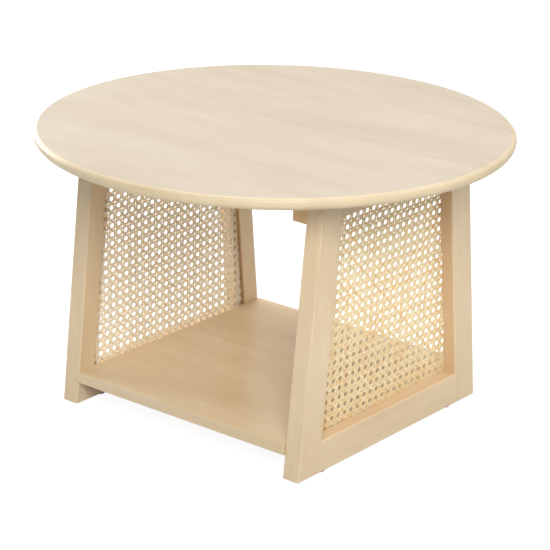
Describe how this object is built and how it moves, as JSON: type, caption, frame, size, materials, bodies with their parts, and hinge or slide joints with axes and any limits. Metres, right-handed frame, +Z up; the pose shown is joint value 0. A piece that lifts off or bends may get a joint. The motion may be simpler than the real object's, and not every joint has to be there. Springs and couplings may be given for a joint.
{
  "type": "wicker coffee table",
  "caption": "Low round wooden table on trapezoid side frames filled with woven cane, joined near the floor by a square shelf.",
  "frame": {"origin": "on the floor under the middle of the round top", "axes": "+Z up; X runs from the left side frame to the right one; +Y runs from the front to the back"},
  "size_m": [0.65, 0.65, 0.401],
  "materials": {
    "pale_wood_top": "satin whitewashed lacquer",
    "pale_wood_frame": "satin whitewashed lacquer",
    "pale_wood_shelf": "satin lacquer",
    "cleat_wood": "plain sanded",
    "dowel_wood": "plain",
    "natural_cane": "natural peeled rattan, low sheen",
    "black_plastic": "matt moulded",
    "zinc_steel": "zinc plated"
  },
  "bodies": {
    "root": {"tabletop": "pale_wood_top", "shelf": "pale_wood_shelf", "left_front_leg": "pale_wood_frame", "left_back_leg": "pale_wood_frame", "left_bottom_rail": "pale_wood_frame", "left_top_rail": "pale_wood_frame", "left_cane_panel": "natural_cane", "left_cleat": "cleat_wood", "left_front_top_bolt": "zinc_steel", "left_front_bolt_washer": "zinc_steel", "left_front_threaded_insert": "zinc_steel", "left_front_cam_bolt": "zinc_steel", "left_front_cam_lock": "zinc_steel", "left_front_shelf_dowel": "dowel_wood", "left_front_glide": "black_plastic", "left_front_glide_nail": "zinc_steel", "left_back_top_bolt": "zinc_steel", "left_back_bolt_washer": "zinc_steel", "left_back_threaded_insert": "zinc_steel", "left_back_cam_bolt": "zinc_steel", "left_back_cam_lock": "zinc_steel", "left_back_shelf_dowel": "dowel_wood", "left_back_glide": "black_plastic", "left_back_glide_nail": "zinc_steel", "left_cleat_screw_1": "zinc_steel", "left_cleat_screw_2": "zinc_steel", "left_cleat_screw_3": "zinc_steel", "right_front_leg": "pale_wood_frame", "right_back_leg": "pale_wood_frame", "right_bottom_rail": "pale_wood_frame", "right_top_rail": "pale_wood_frame", "right_cane_panel": "natural_cane", "right_cleat": "cleat_wood", "right_front_top_bolt": "zinc_steel", "right_front_bolt_washer": "zinc_steel", "right_front_threaded_insert": "zinc_steel", "right_front_cam_bolt": "zinc_steel", "right_front_cam_lock": "zinc_steel", "right_front_shelf_dowel": "dowel_wood", "right_front_glide": "black_plastic", "right_front_glide_nail": "zinc_steel", "right_back_top_bolt": "zinc_steel", "right_back_bolt_washer": "zinc_steel", "right_back_threaded_insert": "zinc_steel", "right_back_cam_bolt": "zinc_steel", "right_back_cam_lock": "zinc_steel", "right_back_shelf_dowel": "dowel_wood", "right_back_glide": "black_plastic", "right_back_glide_nail": "zinc_steel", "right_cleat_screw_1": "zinc_steel", "right_cleat_screw_2": "zinc_steel", "right_cleat_screw_3": "zinc_steel"}
  },
  "joints": []
}
